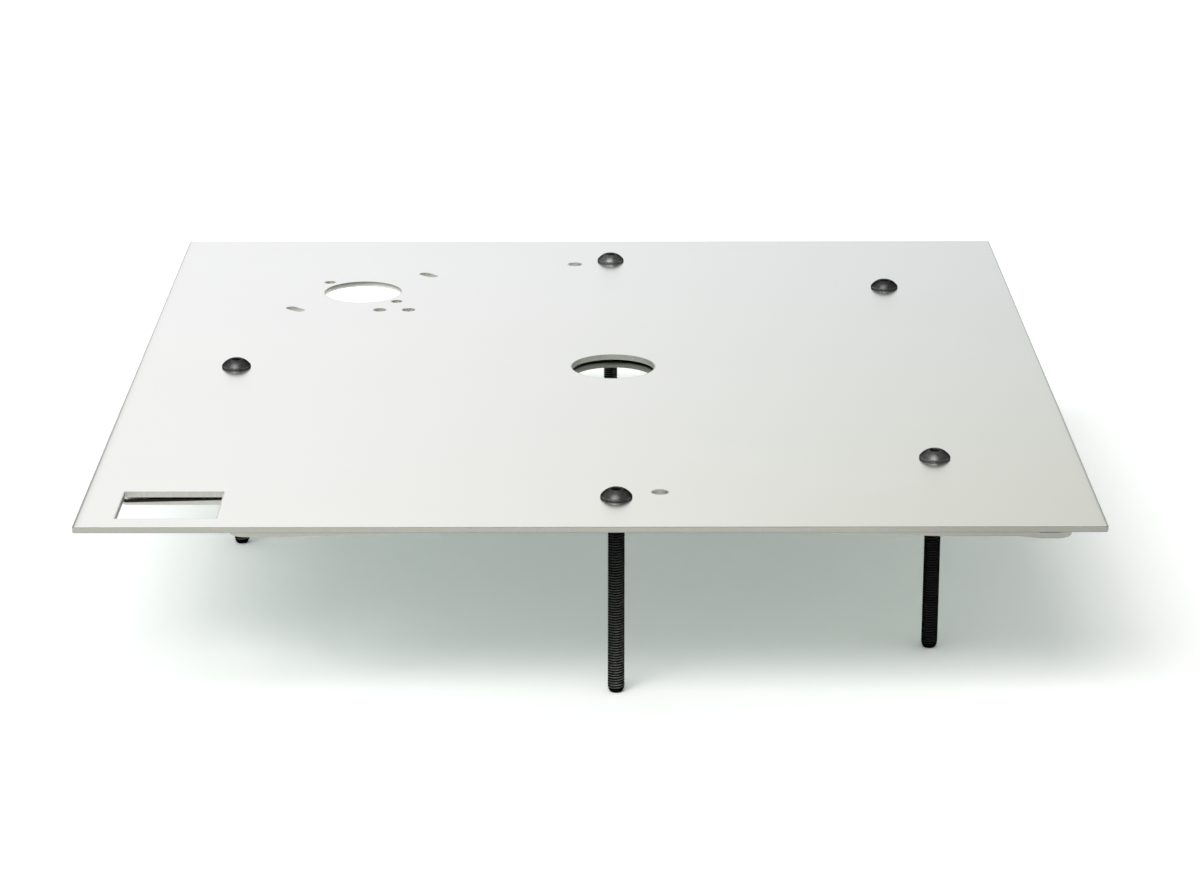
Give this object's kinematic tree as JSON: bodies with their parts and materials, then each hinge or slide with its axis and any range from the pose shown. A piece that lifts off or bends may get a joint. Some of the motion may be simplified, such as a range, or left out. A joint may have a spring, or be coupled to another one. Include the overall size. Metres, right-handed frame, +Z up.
{
  "type": "turntable top plate",
  "caption": "Stainless sheet deck plate for a belt drive record player, with a stiffening sheet under it and long black screws that hang down.",
  "frame": {"origin": "centre of the bearing hole, on the upper face of the top sheet", "axes": "+Z up out of the upper face, +Y to the back, +X to the right"},
  "size_m": [0.2915, 0.3135, 0.0626],
  "materials": {
    "stainless_sheet": "fine brushed grain along the width",
    "black_screws": "black oxide",
    "black_nuts": "black oxide",
    "zinc_washers": "plain zinc plate"
  },
  "bodies": {
    "root": {"top_plate": "stainless_sheet", "stiffener_plate": "stainless_sheet", "suspension_screw_left": "black_screws", "spacer_washer_left": "zinc_washers", "nut_left": "black_nuts", "suspension_screw_rear_right": "black_screws", "spacer_washer_rear_right": "zinc_washers", "nut_rear_right": "black_nuts", "suspension_screw_front_right": "black_screws", "spacer_washer_front_right": "zinc_washers", "nut_front_right": "black_nuts", "brace_screw_rear": "black_screws", "spacer_washer_rear": "zinc_washers", "nut_rear": "black_nuts", "brace_screw_front": "black_screws", "spacer_washer_front": "zinc_washers", "nut_front": "black_nuts"}
  },
  "joints": []
}
